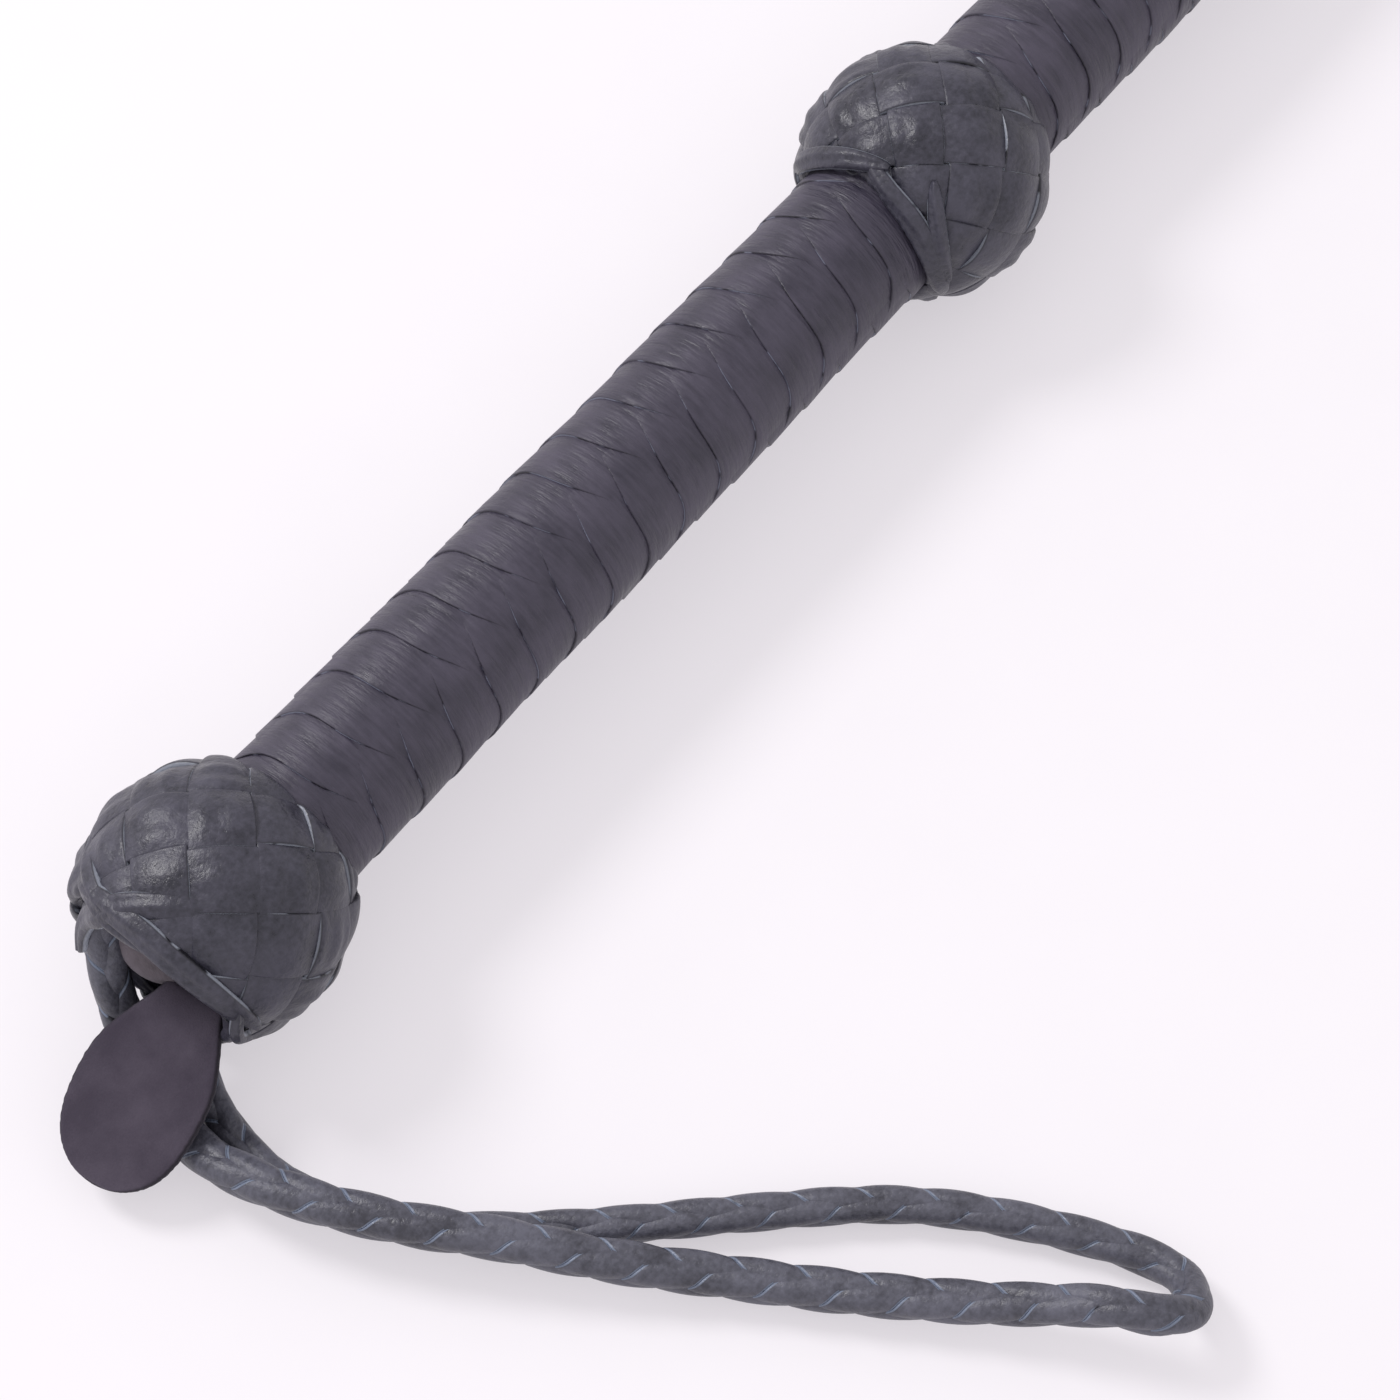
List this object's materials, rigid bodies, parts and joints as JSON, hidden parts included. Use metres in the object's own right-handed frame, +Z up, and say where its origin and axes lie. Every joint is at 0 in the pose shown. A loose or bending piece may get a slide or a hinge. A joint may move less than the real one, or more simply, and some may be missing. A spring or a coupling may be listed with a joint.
{
  "type": "riding crop",
  "caption": "Plaited leather riding crop with round knots at both ends of the grip, a suede butt tongue, a braided wrist loop, a tapered shaft and a keeper flap.",
  "frame": {"origin": "on the surface that the crop lies on, below the middle of its length from the tongue's end to the keeper's end, below the crop's axis", "axes": "+X along the crop's axis from the butt to the keeper, +Z up from the surface, +Y to the left when looking from the butt to the tip"},
  "size_m": [0.6524, 0.146, 0.036],
  "materials": {
    "plait_leather": "smooth satin",
    "knot_leather": "smooth, slightly glossy",
    "cord_leather": "smooth satin",
    "keeper_leather": "smooth satin",
    "suede": "matt suede",
    "disc_leather": "matt",
    "thread": "waxed thread",
    "core_wood": "plain turned",
    "glass_fibre": "matt",
    "iron": "plain"
  },
  "bodies": {
    "crop": {"spine_rod": "glass_fibre", "grip_core": "core_wood", "shaft_bolster": "core_wood", "pommel_ball": "iron", "butt_disc": "disc_leather", "butt_tack": "iron", "collar_bead": "core_wood", "collar_binding": "thread", "grip_strand_1": "plait_leather", "grip_strand_2": "plait_leather", "grip_strand_3": "plait_leather", "grip_strand_4": "plait_leather", "shaft_strand_1": "plait_leather", "shaft_strand_2": "plait_leather", "shaft_strand_3": "plait_leather", "shaft_strand_4": "plait_leather", "pommel_knot": "knot_leather", "collar_knot": "knot_leather", "tip_binding": "thread", "tip_ferrule": "thread", "wrist_loop_cord": "cord_leather"},
    "tongue": {"butt_tongue": "suede"},
    "keeper": {"keeper_flap": "keeper_leather", "keeper_stitches": "thread"}
  },
  "joints": [
    {"name": "tongue_flex", "type": "hinge", "parent": "crop", "child": "tongue", "pos_m": [-0.30069, -0.006, 0.0152], "axis": [-0.1392, 0.9903, 0], "range_deg": [0, 60], "stiffness_Nm_per_rad": 0.01},
    {"name": "keeper_flex", "type": "hinge", "parent": "crop", "child": "keeper", "pos_m": [0.26021, 0, 0.018], "axis": [0, 1, 0], "range_deg": [-60, 60], "stiffness_Nm_per_rad": 0.06}
  ]
}
